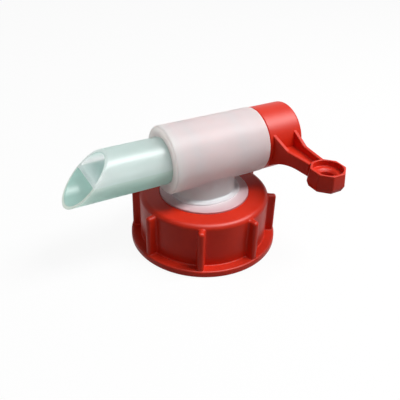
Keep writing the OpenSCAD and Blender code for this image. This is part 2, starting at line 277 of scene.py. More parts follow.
def makeNaturalHdpe():
    look = naturalHdpe
    material, tree = newMaterial("natural moulded HDPE")
    place = addNode(tree, "ShaderNodeTexCoord").outputs["Object"]
    part = addNode(tree, "ShaderNodeSeparateXYZ", {"Vector": place}).outputs
    cloud = addNode(tree, "ShaderNodeTexNoise", {
        "Vector": place, "Scale": perMm(look["cloud"]), "Detail": look["cloudDetail"]}).outputs["Fac"]
    # painted shade: the wall is painted a little darker and cooler, in cloudy patches, where the plug lies
    # behind it
    milky = addNode(tree, "ShaderNodeMix", {
        "Factor": paintedPlugShade(tree, part, cloud), "A": srgb(look["milk"]), "B": srgb(look["paintedPlugShade"])},
        data_type="RGBA").outputs["Result"]
    # painted light: the boss is painted pink towards its edge, standing in for red light from the cap
    colour = addNode(tree, "ShaderNodeMix", {
        "Factor": capRedLightAmount(tree, part), "A": milky, "B": srgb(look["capRedLight"])},
        data_type="RGBA").outputs["Result"]
    grain = addNode(tree, "ShaderNodeTexNoise", {
        "Vector": place, "Scale": perMm(look["grain"]), "Detail": look["grainDetail"]}).outputs["Fac"]
    bump = addNode(tree, "ShaderNodeBump", {
        "Height": grain, "Strength": look["grainStrength"],
        "Distance": look["grainHeight"] * mm}).outputs["Normal"]
    plastic = addNode(tree, "ShaderNodeBsdfPrincipled", {
        "Base Color": colour, "Roughness": look["roughness"], "Normal": bump, "IOR": look["ior"],
        "Specular IOR Level": look["specular"]}).outputs[0]
    shining = addNode(tree, "ShaderNodeBsdfTranslucent", {"Color": srgb(look["shining"])}).outputs[0]
    through = addNode(tree, "ShaderNodeMapRange", {
        "Value": part["Z"], **fromTo(capTop, look["flangeFade"]),
        "To Min": look["throughFlange"], "To Max": look["through"]}).outputs["Result"]  # the flange is thick
    milk = addNode(tree, "ShaderNodeMixShader", {0: through, 1: plastic, 2: shining}).outputs[0]
    addNode(tree, "ShaderNodeOutputMaterial", {"Surface": milk})
    return material


milkyPlastic = makeNaturalHdpe()

# natural PP, injection moulded: watery green, glossy, lets light through; painted shade makes it darkest
# inside its lower channel, a little darker outside below the dividing wall, and darker at the top inside its
# upper channel
# painted shade: the lower outside, the inside of the lower channel and the top inside the upper channel are
# painted darker and greener than the lit upper colours
naturalPp = {"upper": "#fbfdfc", "lower": "#f0f4ef", "insideUpper": "#fafbfc", "insideLowerShade": "#b4d5d0",
             "ceilingShade": "#c2d8d4", "roughness": 0.3, "ior": 1.3, "specular": 0.5, "coat": 1.0,
             "coatRoughness": 0.24, "coatIor": 1.7, "through": 0.8,
             "lowerShadeFade": (0.75, 0.35),  # above the axis
             "ceilingShadeFade": (3.0, 8.0),  # above the axis
             "insideFade": (-0.9, -1.5)}  # from the tube's outside


def makeNaturalPp():
    look = naturalPp
    material, tree = newMaterial("natural moulded PP")
    place = addNode(tree, "ShaderNodeTexCoord").outputs["Object"]
    part = addNode(tree, "ShaderNodeSeparateXYZ", {"Vector": place}).outputs
    # mask for the painted shade below the dividing wall, outside and inside
    below = addNode(tree, "ShaderNodeMapRange", {"Value": part["Z"], **fromTo(axisZ, look["lowerShadeFade"])},
                    interpolation_type="SMOOTHSTEP").outputs["Result"]
    # mask for the painted shade at the top inside the upper channel
    high = addNode(tree, "ShaderNodeMapRange", {
        "Value": part["Z"], **fromTo(axisZ, look["ceilingShadeFade"])}).outputs["Result"]
    up = addNode(tree, "ShaderNodeMath", {0: part["Z"], 1: axisZ * mm}, operation="SUBTRACT").outputs[0]
    across = addNode(tree, "ShaderNodeCombineXYZ", {"X": up, "Y": part["Y"]}).outputs[0]
    radius = addNode(tree, "ShaderNodeVectorMath", {0: across}, operation="LENGTH").outputs["Value"]
    inside = addNode(tree, "ShaderNodeMapRange", {"Value": radius, **fromTo(spoutR, look["insideFade"])},
                     interpolation_type="SMOOTHSTEP").outputs["Result"]
    outer = addNode(tree, "ShaderNodeMix", {
        "Factor": below, "A": srgb(look["upper"]), "B": srgb(look["lower"])},
        data_type="RGBA").outputs["Result"]
    above = addNode(tree, "ShaderNodeMix", {
        "Factor": high, "A": srgb(look["insideUpper"]), "B": srgb(look["ceilingShade"])},
        data_type="RGBA").outputs["Result"]
    inner = addNode(tree, "ShaderNodeMix", {
        "Factor": below, "A": above, "B": srgb(look["insideLowerShade"])}, data_type="RGBA").outputs["Result"]
    colour = addNode(tree, "ShaderNodeMix", {
        "Factor": inside, "A": outer, "B": inner}, data_type="RGBA").outputs["Result"]
    plastic = addNode(tree, "ShaderNodeBsdfPrincipled", {
        "Base Color": colour, "Roughness": look["roughness"], "IOR": look["ior"],
        "Specular IOR Level": look["specular"], "Coat Weight": look["coat"],
        "Coat Roughness": look["coatRoughness"], "Coat IOR": look["coatIor"]}).outputs[0]
    shining = addNode(tree, "ShaderNodeBsdfTranslucent", {"Color": colour}).outputs[0]
    watery = addNode(tree, "ShaderNodeMixShader", {0: look["through"], 1: plastic, 2: shining}).outputs[0]
    addNode(tree, "ShaderNodeOutputMaterial", {"Surface": watery})
    return material


wateryPlastic = makeNaturalPp()

# moulded EPDM for the seals: matt and near black; closed-cell PE foam for the gasket: pale and pitted
softKinds = {"black moulded EPDM": {"colours": ("#1d1d1d", "#292827"), "grain": 0.5, "height": 0.02,
                                    "strength": 0.4, "roughness": 0.62},
             "closed-cell PE foam": {"colours": ("#cbc6b8", "#ddd9cc"), "grain": 0.45, "height": 0.06,
                                     "strength": 0.4, "roughness": 0.8}}


def makeSoft(name):
    look = softKinds[name]
    material, tree = newMaterial(name)
    place = addNode(tree, "ShaderNodeTexCoord").outputs["Object"]
    cells = addNode(tree, "ShaderNodeTexVoronoi", {
        "Vector": place, "Scale": perMm(look["grain"])}).outputs["Distance"]
    colour = addNode(tree, "ShaderNodeMix", {
        "Factor": cells, "A": srgb(look["colours"][0]), "B": srgb(look["colours"][1])},
        data_type="RGBA").outputs["Result"]
    bump = addNode(tree, "ShaderNodeBump", {
        "Height": cells, "Strength": look["strength"], "Distance": look["height"] * mm}).outputs["Normal"]
    soft = addNode(tree, "ShaderNodeBsdfPrincipled", {
        "Base Color": colour, "Roughness": look["roughness"], "Normal": bump}).outputs[0]
    addNode(tree, "ShaderNodeOutputMaterial", {"Surface": soft})
    return material


rubber = makeSoft("black moulded EPDM")
foam = makeSoft("closed-cell PE foam")
print("materials made")

# screw cap: one rib with its panel is modelled, and nodes repeat it round the cap and add the thread
capSizes = {"ledge": 5.0, "rimHeight": 3.6, "rimRound": 0.9, "topRound": 2.6, "hole": 22.45, "plate": 2.6,
            "inside": 30.7, "insideRound": 1.0, "edge": 0.4, "ribs": 8, "firstRib": 13.7, "ribWidth": 3.3,
            "ribOut": 4.4, "ribLean": 0.3, "ribDrop": 1.5, "ribRound": 1.3, "ribRoundLeast": 0.1,
            "ribCrown": 1.5, "ribFillet": 1.0, "ribLedge": 0.08, "overRib": 0.1, "footFillet": 0.5,
            "footShare": 0.6, "footLeast": 0.05, "pitch": 6.0, "turns": 2.5, "threadStart": 2.4,
            "threadDepth": 1.4, "threadSink": 0.3, "threadRoot": 4.1, "threadCrest": 2.1,
            "threadSteps": 48, "threadFade": 0.03, "threadTip": 0.1}
ribSteps = {"face": 3, "corner": 5, "side": 3, "fillet": 6, "panel": 8, "rim": 5, "height": 6, "crown": 6,
            "shoulder": 7, "top": 3}
capWallR = rimR - capSizes["ledge"]
capShoulder = capTop - capSizes["topRound"]
ribTop = capTop - capSizes["ribDrop"]


def wallAt(z):  # radius of the cap's wall, which rounds off towards the top
    topRound = capSizes["topRound"]
    return capWallR - topRound + math.sqrt(topRound ** 2 - max(0, z - capShoulder) ** 2)


def reachAt(z):  # radius of a rib's outer face
    rimHeight = capSizes["rimHeight"]
    return capWallR + capSizes["ribOut"] - capSizes["ribLean"] * (z - rimHeight) / (ribTop - rimHeight)


def ribOutline(wallR, half, reach, corner):  # half an outline, from the rib's middle to the panel's middle
    fillet = capSizes["ribFillet"]
    footX = math.sqrt((wallR + fillet) ** 2 - (half + fillet) ** 2)
    foot = math.degrees(math.atan2(half + fillet, footX))
    points = [(reach, y) for y in np.linspace(0, half - corner, ribSteps["face"] + 1)]
    points += arc(reach - corner, half - corner, corner, 0, 90, ribSteps["corner"])[1:]
    points += [(x, half) for x in np.linspace(reach - corner, footX, ribSteps["side"] + 1)][1:]
    points += arc(footX, half + fillet, fillet, -90, foot - 180, ribSteps["fillet"])[1:]
    points += arc(0, 0, wallR, foot, 180 / capSizes["ribs"], ribSteps["panel"])[1:]
    return np.array(points)


def bothHalves(half):
    return np.vstack((half[:0:-1] * (1, -1), half))


def spreadAngles(half):  # the outline's angles, evened out along the rib's side so that they keep growing
    turn = np.arctan2(half[:, 1], half[:, 0])
    first = ribSteps["face"]
    last = first + ribSteps["corner"] + ribSteps["side"] + ribSteps["fillet"]
    turn[first:last + 1] = np.linspace(turn[first], turn[last], last - first + 1)
    return np.concatenate((-turn[:0:-1], turn))


def ringRow(r, z, turn):
    return np.stack((r * np.cos(turn), r * np.sin(turn), z + 0 * turn), 1)


def flatRow(outline, z):
    return np.column_stack((outline, z + np.zeros(len(outline))))


def rimRows(room, turn):  # base rim, whose upper round stops where a rib stands on it
    rimRound = capSizes["rimRound"]
    start = rimR - rimRound
    tuck = np.arccos(np.clip((capSizes["ribLedge"] - room) / rimRound, 0, 1))
    rows = [ringRow(start, 0, turn)]
    for r, z in arc(start, rimRound, rimRound, -90, 0, ribSteps["rim"])[1:]:
        rows.append(ringRow(r, z, turn))
    for k in range(1, ribSteps["rim"] + 1):
        a = tuck * k / ribSteps["rim"]
        level = capSizes["rimHeight"] - rimRound + rimRound * np.sin(a)
        rows.append(ringRow(start + rimRound * np.cos(a), level, turn))
    return rows


def footRows(foot, room):  # small fillet at the foot of ribs and panels, as wide as the rim has room for
    along = np.gradient(foot, axis=0)
    out = np.column_stack((along[:, 1], -along[:, 0])) / np.linalg.norm(along, axis=1)[:, None]
    out[[0, -1]] = foot[[0, -1]] / capWallR  # straight out where two panels meet
    fillet = np.clip(capSizes["footShare"] * room, capSizes["footLeast"], capSizes["footFillet"])
    rows = []
    for a in angles(0, 90, meshSteps["edge"]):
        spread = fillet * (1 - math.sin(a))
        level = capSizes["rimHeight"] + fillet * (1 - math.cos(a))
        rows.append(flatRow(foot + out * spread[:, None], level))
    return rows


def ribRows():  # upright walls, then the rib's rounded crown; also gives the angles of the last row
    ribRound = capSizes["ribRound"]
    crown = capSizes["ribCrown"]
    half = capSizes["ribWidth"] / 2
    start = capSizes["rimHeight"] + capSizes["footFillet"]
    rows = []
    for z in np.linspace(start, ribTop - crown, ribSteps["height"] + 1)[1:]:
        rows.append(flatRow(bothHalves(ribOutline(capWallR, half, reachAt(z), ribRound)), z))
    for a in angles(0, 90, ribSteps["crown"])[1:]:
        z = ribTop - crown * (1 - math.sin(a))
        inset = crown * (1 - math.cos(a))
        corner = max(ribRound - inset, capSizes["ribRoundLeast"])
        outline = ribOutline(wallAt(z), half - inset, reachAt(ribTop) - inset, corner)
        rows.append(flatRow(bothHalves(outline), z))
    return rows, spreadAngles(outline)


def topRows(last, turn):  # from the rib's crown over the cap's round edge to the hole
    hole, edge, topRound = (capSizes[k] for k in ("hole", "edge", "topRound"))
    level = ribTop + capSizes["overRib"]
    joined = ringRow(wallAt(level), level, turn)
    rows = [last + (joined - last) * share for share in (1 / 3, 2 / 3, 1)]
    start = math.degrees(math.asin((level - capShoulder) / topRound))
    outline = arc(capWallR - topRound, capShoulder, topRound, start, 90, ribSteps["shoulder"])[1:]
    outline += [(r, capTop) for r in np.linspace(capWallR - topRound, hole + edge, ribSteps["top"] + 1)[1:]]
    outline += arc(hole + edge, capTop - edge, edge, 90, 180, meshSteps["edge"])[1:]
    return rows + [ringRow(r, z, turn) for r, z in outline]


def insideRows(turn):  # down the hole, out under the top and down the threaded wall
    hole, inside, edge, bend = (capSizes[k] for k in ("hole", "inside", "edge", "insideRound"))
    under = capTop - capSizes["plate"]
    outline = [(hole, under), (inside - bend, under)]
    outline += arc(inside - bend, under - bend, bend, 90, 0, meshSteps["edge"])[1:]
    outline += [(inside, edge), (inside + edge, 0)]
    return [ringRow(r, z, turn) for r, z in outline]


def capSector():
    reach = reachAt(capSizes["rimHeight"])
    footHalf = ribOutline(capWallR, capSizes["ribWidth"] / 2, reach, capSizes["ribRound"])
    foot = bothHalves(footHalf)
    turn = spreadAngles(footHalf)
    room = rimR - capSizes["rimRound"] - np.linalg.norm(foot, axis=1)
    ribs, turnTop = ribRows()
    rows = rimRows(room, turn) + footRows(foot, room) + ribs + topRows(ribs[-1], turnTop) + insideRows(turn)
    return loft("cap", rows, ring=False, tube=True)


def addThread(tree, given):  # ridge of four points swept along a helix, fading out at both ends
    rise = addNode(tree, "ShaderNodeMath", {
        0: given["Pitch"], 1: given["Turns"]}, operation="MULTIPLY").outputs[0]
    helix = addNode(tree, "GeometryNodeCurveSpiral", {
        "Resolution": capSizes["threadSteps"], "Rotations": given["Turns"], "Height": rise, "Reverse": True,
        "Start Radius": given["Thread radius"], "End Radius": given["Thread radius"]})
    upright = addNode(tree, "GeometryNodeSetCurveNormal", {"Curve": helix.outputs[0]}, mode="Z_UP")
    mirrored = {}
    for point in ("Root point", "Crest point"):
        mirrored[point] = addNode(tree, "ShaderNodeVectorMath", {
            0: given[point], 1: (1, -1, 1)}, operation="MULTIPLY").outputs[0]
    ridge = addNode(tree, "GeometryNodeCurvePrimitiveQuadrilateral", {
        "Point 1": given["Root point"], "Point 2": given["Crest point"],
        "Point 3": mirrored["Crest point"], "Point 4": mirrored["Root point"]}, mode="POINTS")
    factor = addNode(tree, "GeometryNodeSplineParameter").outputs["Factor"]
    ends = addNode(tree, "ShaderNodeMath", {0: factor, 1: 0.5}, operation="PINGPONG").outputs[0]
    fade = addNode(tree, "ShaderNodeMapRange", {
        "Value": ends, "From Max": capSizes["threadFade"], "To Min": capSizes["threadTip"]})
    thread = addNode(tree, "GeometryNodeCurveToMesh", {
        "Curve": upright.outputs[0], "Profile Curve": ridge.outputs[0], "Scale": fade.outputs["Result"],
        "Fill Caps": True})
    lift = addNode(tree, "ShaderNodeCombineXYZ", {"Z": given["Thread start"]}).outputs[0]
    return addNode(tree, "GeometryNodeTransform", {
        "Geometry": thread.outputs[0], "Translation": lift}).outputs[0]


def addRibs(tree, given):  # the modelled panel on every rib's angle, welded into one shell
    step = addNode(tree, "ShaderNodeMath", {0: math.tau, 1: given["Ribs"]}, operation="DIVIDE").outputs[0]
    index = addNode(tree, "GeometryNodeInputIndex").outputs[0]
    angle = addNode(tree, "ShaderNodeMath", {
        0: index, 1: step, 2: given["First rib"]}, operation="MULTIPLY_ADD")
    turn = addNode(tree, "FunctionNodeAxisAngleToRotation", {"Axis": (0, 0, 1), "Angle": angle.outputs[0]})
    points = addNode(tree, "GeometryNodePoints", {"Count": given["Ribs"]})
    ring = addNode(tree, "GeometryNodeInstanceOnPoints", {
        "Points": points.outputs[0], "Instance": given["Panel"], "Rotation": turn.outputs[0]})
    shell = addNode(tree, "GeometryNodeRealizeInstances", {"Geometry": ring.outputs[0]})
    return addNode(tree, "GeometryNodeMergeByDistance", {
        "Geometry": shell.outputs[0], "Distance": weldGap}).outputs[0]


def capTree():
    tree = bpy.data.node_groups.new("ribbed cap", "GeometryNodeTree")
    kinds = {"Panel": "Geometry", "Ribs": "Int", "First rib": "Float", "Thread radius": "Float",
             "Pitch": "Float", "Turns": "Float", "Thread start": "Float", "Root point": "Vector",
             "Crest point": "Vector", "Plastic": "Material"}
    for name, kind in kinds.items():
        tree.interface.new_socket(name, in_out="INPUT", socket_type="NodeSocket" + kind)
    tree.interface.new_socket("Cap", in_out="OUTPUT", socket_type="NodeSocketGeometry")
    given = addNode(tree, "NodeGroupInput").outputs
    whole = addNode(tree, "GeometryNodeJoinGeometry", {"Geometry": addRibs(tree, given)})
    tree.links.new(addThread(tree, given), whole.inputs[0])
    real = addNode(tree, "GeometryNodeRealizeInstances", {"Geometry": whole.outputs[0]})
    dressed = addNode(tree, "GeometryNodeSetMaterial", {
        "Geometry": real.outputs[0], "Material": given["Plastic"]})
    addNode(tree, "NodeGroupOutput", {"Cap": dressed.outputs[0]})
    return tree


def applyTree(piece, tree, values):
    modifier = piece.modifiers.new(tree.name, "NODES")
    modifier.node_group = tree
    for item in tree.interface.items_tree:
        if item.in_out == "INPUT" and item.name in values:
            modifier[item.identifier] = values[item.name]
    settle(piece)


cap = capSector()
applyTree(cap, capTree(), {
    "Ribs": capSizes["ribs"], "First rib": math.radians(capSizes["firstRib"]),
    "Thread radius": capSizes["inside"] * mm, "Pitch": capSizes["pitch"] * mm, "Turns": capSizes["turns"],
    "Thread start": capSizes["threadStart"] * mm,
    "Root point": (capSizes["threadSink"] * mm, capSizes["threadRoot"] / 2 * mm, 0),
    "Crest point": (-capSizes["threadDepth"] * mm, capSizes["threadCrest"] / 2 * mm, 0),
    "Plastic": redPlastic})
finishPiece(cap, "screw_cap", "cap", redPlastic, sharp=38)

# tap body: flange and boss, oval neck with a step at its foot, barrel
bodySizes = {"flange": 3.1, "flangeEdge": 0.3, "boss": 22.4, "bossProud": 0.8, "bossRound": 0.5,
             "neck": 13.4, "stretch": 2.1, "stepOut": 2.6, "stepHeight": 0.8, "stepRound": 0.4,
             "stepFillet": 0.38, "stepFilletSink": 0.05, "stepFilletFrom": -110, "neckFillet": 0.9,
             "passage": 9.0, "divider": 1.3, "dividerUp": 1.2, "front": -23.1, "rear": 27.0, "endPlay": 0.2,
             "frontWall": 2.5, "bore": 13.75, "frontHole": 11.0, "frontEdge": 0.3, "frontRound": 0.9,
             "rearRound": 0.45, "snapX": 19.5, "snap": 0.7, "stopDepth": 2.7, "stopOut": 1.4,
             "stopFrom": -10.8, "stopTo": 100.8, "seatR": 10.85, "seatDeep": 1.25}
bossTop = capTop + bodySizes["bossProud"]
barrelFront = bodySizes["front"]
barrelRear = bodySizes["rear"]


def ovalRow(r, z):
    steps = meshSteps["neck"]
    turn = angles(0, 360, steps)[:-1] + math.pi / steps
    x = r * np.cos(turn) + np.sign(np.cos(turn)) * bodySizes["stretch"]
    return np.stack((x, r * np.sin(turn), z + 0 * turn), 1)


def makeFlange():
    edge, boss, bossRound = (bodySizes[k] for k in ("flangeEdge", "boss", "bossRound"))
    low = bodyLow.z
    high = low + bodySizes["flange"]
    profile = [(0, low)] + arc(bodyHigh.x - edge, low + edge, edge, -90, 0, steps=3)
    profile += arc(bodyHigh.x - edge, high - edge, edge, 0, 90, steps=3) + [(boss, high)]
    profile += arc(boss - bossRound, bossTop - bossRound, bossRound, 0, 90, steps=5) + [(0, bossTop)]
    return revolve("tapBody", profile)


def makeNeck():
    out, stepRound, fillet = (bodySizes[k] for k in ("stepOut", "stepRound", "stepFillet"))
    foot = bossTop - bodySizes["stepFilletSink"]
    stepTop = bossTop + bodySizes["stepHeight"]
    neckFillet = bodySizes["neckFillet"]
    hollow = arc(out + fillet, foot + fillet, fillet, bodySizes["stepFilletFrom"], -180, meshSteps["edge"])
    outline = [(hollow[0][0], bossTop - overlap)] + hollow
    outline += arc(out - stepRound, stepTop - stepRound, stepRound, 0, 90, meshSteps["edge"])
    outline += arc(neckFillet, stepTop + neckFillet, neckFillet, -90, -180, steps=5) + [(0, axisZ)]
    return loft("neck", [ovalRow(bodySizes["neck"] + x, z) for x, z in outline], caps=True)


def makeBarrel():
    frontRound = bodySizes["frontRound"]
    rearRound = bodySizes["rearRound"]
    profile = [(0, barrelFront)]
    profile += arc(barrelR - frontRound, barrelFront + frontRound, frontRound, -90, 0, steps=6)
    profile += arc(barrelR - rearRound, barrelRear - rearRound, rearRound, 0, 90, meshSteps["edge"])
    return revolve("barrel", profile + [(0, barrelRear)], "x", meshSteps["barrel"])


def makeBore():  # hole for the spout, bore for the plug and a groove for the plug's bead
    hole, edge, bore, snap = (bodySizes[k] for k in ("frontHole", "frontEdge", "bore", "snap"))
    start = barrelFront - overlap
    end = barrelRear + overlap
    inner = barrelFront + bodySizes["frontWall"]
    grooveFront = bodySizes["snapX"] - snap
    grooveRear = bodySizes["snapX"] + snap
    profile = [(0, start), (hole + edge, start), (hole + edge, barrelFront), (hole, barrelFront + edge),
               (hole, inner), (bore, inner), (bore, grooveFront), (bore + snap, grooveFront),
               (bore + snap, grooveRear), (bore, grooveRear), (bore, end), (0, end)]
    return revolve("bore", profile, "x", meshSteps["barrel"])


def makeStop():  # recess in the rear edge, in which the hub's lug turns from stop to stop
    bore = bodySizes["bore"]
    return ringPart("stop", bore - overlap, bore + bodySizes["stopOut"], barrelRear - bodySizes["stopDepth"],
                    barrelRear + overlap, bodySizes["stopFrom"], bodySizes["stopTo"])


def makeSeat():  # recess for the port seal, round the passage and as deep as the seal is thick
    seatR = bodySizes["seatR"]
    deep = bodySizes["bore"] + bodySizes["seatDeep"]
    seat = revolve("seat", [(0, bossTop), (seatR, bossTop), (seatR, axisZ), (0, axisZ)])
    room = revolve("room", [(0, barrelFront), (deep, barrelFront), (deep, barrelRear), (0, barrelRear)],
                   "x", meshSteps["barrel"])
    combine(seat, room, "INTERSECT")
    return seat


def passageHalf(side):  # half of the round passage, on one side of the dividing wall
    passage = bodySizes["passage"]
    edge = bodySizes["dividerUp"] + side * bodySizes["divider"] / 2
    lean = math.degrees(math.asin(edge / passage))
    start, end = (lean, 180 - lean) if side > 0 else (180 - lean, 360 + lean)
    outline = np.array(arc(0, 0, passage, start, end, meshSteps["channel"]))
    return loft("passage", [flatRow(outline, z) for z in (bodyLow.z - overlap, axisZ)], caps=True)


def makeBody():
    body = makeFlange()
    for piece in (makeNeck(), makeBarrel()):
        combine(body, piece, "UNION")
    for cutter in (makeBore(), makeStop(), makeSeat(), passageHalf(1), passageHalf(-1)):
        combine(body, cutter, "DIFFERENCE")
    return body


body = makeBody()
finishPiece(body, "tap_body", "tap", milkyPlastic, sharp=40)

# spout: round tube with a flat wall across it, cut off at a slant
spoutSizes = {"wall": 1.45, "slant": 43.8, "step": 0.25, "edge": 0.35, "corner": 0.7}
shoulderX = barrelFront - bodySizes["endPlay"]


def channelLoop(side, grow=0.0):  # D-shaped channel above or below the wall, as (y, z)
    r = spoutR - spoutSizes["wall"] + grow
    flat = side * bodySizes["dividerUp"] + bodySizes["divider"] / 2 - grow
    corner = spoutSizes["corner"]
    tip = math.degrees(math.asin((flat + corner) / (r - corner)))
    y = (r - corner) * math.cos(math.radians(tip))
    loop = arc(0, 0, r, tip, 180 - tip, meshSteps["channel"])
    loop += arc(-y, flat + corner, corner, 180 - tip, 270, steps=5)[1:]
    loop += arc(y, flat + corner, corner, -90, tip, steps=5)[:-1]
    return [(y, side * z) for y, z in loop]


def circle(r):
    return arc(0, 0, r, 0, 360, meshSteps["round"])[:-1]


def atPlane(loop, x):
    return [(x, y, z + axisZ) for y, z in loop]


def atMouth(loop, inward):
    tilt = math.tan(math.radians(spoutSizes["slant"]))
    mouthX = spoutLow.x + spoutR * tilt
    return [(mouthX + z * tilt + inward, y, z + axisZ) for y, z in loop]


def makeSpout():
    points = []
    faces = []

    def skin(rows):  # joins rows of points into one wall, and gives its first and last row
        first = len(points)
        count = len(rows[0])
        last = first + count * (len(rows) - 1)
        for row in rows:
            points.extend(row)
        for face in gridFaces(len(rows), count, True, False):
            faces.append(tuple(first + i for i in face))
        return range(first, first + count), range(last, last + count)

    edge, step = spoutSizes["edge"], spoutSizes["step"]
    rounds = [(edge * (1 - math.sin(a)), edge * (1 - math.cos(a))) for a in angles(90, 0, meshSteps["edge"])]
    outside = [atMouth(circle(spoutR - inset), inward) for inward, inset in rounds]
    outside.append(atPlane(circle(spoutR), shoulderX - step))
    outside += [atPlane(circle(spoutR - step), x) for x in (shoulderX, spoutHigh.x)]
    walls = [skin(outside)]
    for side in (1, -1):
        inside = [atMouth(channelLoop(side, inset), inward) for inward, inset in rounds]
        walls.append(skin(inside + [atPlane(channelLoop(side), spoutHigh.x)]))
    for end in (0, 1):  # the mouth's face, then the rear face
        loops = [wall[end] for wall in walls]
        order = [i for loop in loops for i in loop]
        outlines = [[Vector((points[i][1], points[i][2], 0)) for i in loop] for loop in loops]
        faces.extend([tuple(order[k] for k in triangle) for triangle in tessellate_polygon(outlines)])
    return newPiece("spoutTube", points, faces)


spout = makeSpout()
finishPiece(spout, "spout_tube", "valve", wateryPlastic, sharp=50)

# lever: hub, arm with two webs, octagonal eye
leverSizes = {"frontRound": 0.45, "rearRound": 1.5, "stem": 8.13, "stemEnd": 40.25, "wall": 2.3,
              "lugInner": 13.95, "lugOuter": 14.95, "lugFront": 24.5, "lugHalf": 10.0,
              "armIn": 9.0, "armSink": 3.0, "hubSink": 0.05, "armWidth": 17.2, "tipWidth": 7.9, "web": 2.0,
              "floor": 3.1, "top": 3.5, "low": 2.9, "fillet": 30.0, "slope": 10.2, "root": 7.6, "edge": 0.5,
              "floorFillet": 0.6, "reach": 45.8, "eyeWidth": 15.4, "eyeHeight": 8.8, "eyeDraft": 0.6,
              "eyeTaperIn": 1.0, "eyeTaperUp": 2.4, "eyeRim": 0.9, "eyeEdge": 0.3, "eyeRecess": 2.9,
              "eyeUp": 0.8, "eyeHole": 3.4, "eyeSink": 1.1, "eyeCorner": 1.2}
armSteps = {"inHub": 3, "curve": 15, "straight": 4}
hubFront = barrelRear + bodySizes["endPlay"]
armX = hubFront + leverSizes["armIn"]


def makeHub():
    frontRound = leverSizes["frontRound"]
    rearRound = leverSizes["rearRound"]
    profile = [(0, hubFront), (hubR - frontRound, hubFront), (hubR, hubFront + frontRound)]
    profile += arc(hubR - rearRound, hubEnd - rearRound, rearRound, 0, 90, steps=7)
    return revolve("leverHandle", profile + [(0, hubEnd)], "x", meshSteps["barrel"])


def hollowHub(lever):  # socket for the plug's stem, relief round it, and the lug that meets the stops
    stem, wall, end, lugHalf = (leverSizes[k] for k in ("stem", "wall", "stemEnd", "lugHalf"))
    start = hubFront - overlap
    inner = stem + wall
    outer = hubR - wall
    hexagon = arc(0, 0, stem, 0, 360, steps=6)[:-1]
    rows = [np.array([(x, y, z + axisZ) for z, y in hexagon]) for x in (start, end)]
    socket = loft("socket", rows, caps=True)
    relief = revolve("relief", [(inner, start), (outer, start), (outer, end), (inner, end)],
                     "x", meshSteps["relief"])
    lug = ringPart("lug", leverSizes["lugInner"], leverSizes["lugOuter"], leverSizes["lugFront"],
                   hubFront + wall, 90 - lugHalf, 90 + lugHalf)
    combine(lever, socket, "DIFFERENCE")
    combine(lever, relief, "DIFFERENCE")
    combine(lever, lug, "UNION")


def armSection(half, bottom, top):  # channel with two webs, open at the top
    web, edge, fillet = (leverSizes[k] for k in ("web", "edge", "floorFillet"))
    floor = leverSizes["floor"] - leverSizes["low"]
    side = [(0, bottom)] + arc(half - edge, bottom + edge, edge, -90, 0, meshSteps["edge"])
    side += arc(half - edge, top - edge, edge, 0, 90, meshSteps["edge"])
    side += arc(half - web + edge, top - edge, edge, 90, 180, meshSteps["edge"])
    side += arc(half - web - fillet, floor + fillet, fillet, 0, -90, meshSteps["edge"]) + [(0, floor)]
    return side + [(-x, z) for x, z in side[-2:0:-1]]


def makeArm():
    reach, root, slope, fillet = (leverSizes[k] for k in ("reach", "root", "slope", "fillet"))
    centreZ = -leverSizes["low"] - fillet  # centre of the hollow curve below the arm
    centreY = math.sqrt((hubR + fillet) ** 2 - centreZ ** 2)
    touchY = centreY * hubR / (hubR + fillet)  # where that curve meets the hub
    rootY = math.sqrt(hubR ** 2 - root ** 2)
    endY = reach - leverSizes["eyeWidth"] / 2 + leverSizes["eyeRim"] / 2
    stations = np.concatenate((
        np.linspace(touchY - leverSizes["armSink"], touchY, armSteps["inHub"] + 1),
        np.linspace(touchY, centreY, armSteps["curve"] + 1)[1:],
        np.linspace(centreY, endY, armSteps["straight"] + 1)[1:], (rootY, rootY + slope)))
    rows = []
    for y in np.unique(np.round(stations, 3)):
        width = leverSizes["armWidth"] + (leverSizes["tipWidth"] - leverSizes["armWidth"]) * y / reach
        top = np.interp(y, (rootY, rootY + slope), (root, leverSizes["top"]))
        if y < touchY:
            bottom = -math.sqrt((hubR - leverSizes["hubSink"]) ** 2 - y * y)
        else:
            bottom = centreZ + math.sqrt(max(0, fillet ** 2 - min(0, y - centreY) ** 2))
        section = armSection(width / 2, bottom, top)
        rows.append(np.array([(armX + x, -y, axisZ + z) for x, z in section]))
    return loft("arm", rows, caps=True)


def octagon(apothem, corner):  # rounded octagon, with as many points whatever its size
    steps = meshSteps["edge"]
    sides = 8
    halfTurn = 180 / sides
    r = (apothem - corner) / math.cos(math.radians(halfTurn))
    loop = []
    for k in range(sides):
        turn = halfTurn * (2 * k + 1)
        x = r * math.cos(math.radians(turn))
        y = r * math.sin(math.radians(turn))
        bend = arc(x, y, corner, turn - halfTurn, turn + halfTurn, steps)
        if loop:
            loop += np.linspace(loop[-1], bend[0], steps + 1)[1:-1].tolist()
        loop += bend
    return np.array(loop + np.linspace(loop[-1], loop[0], steps + 1)[1:-1].tolist())


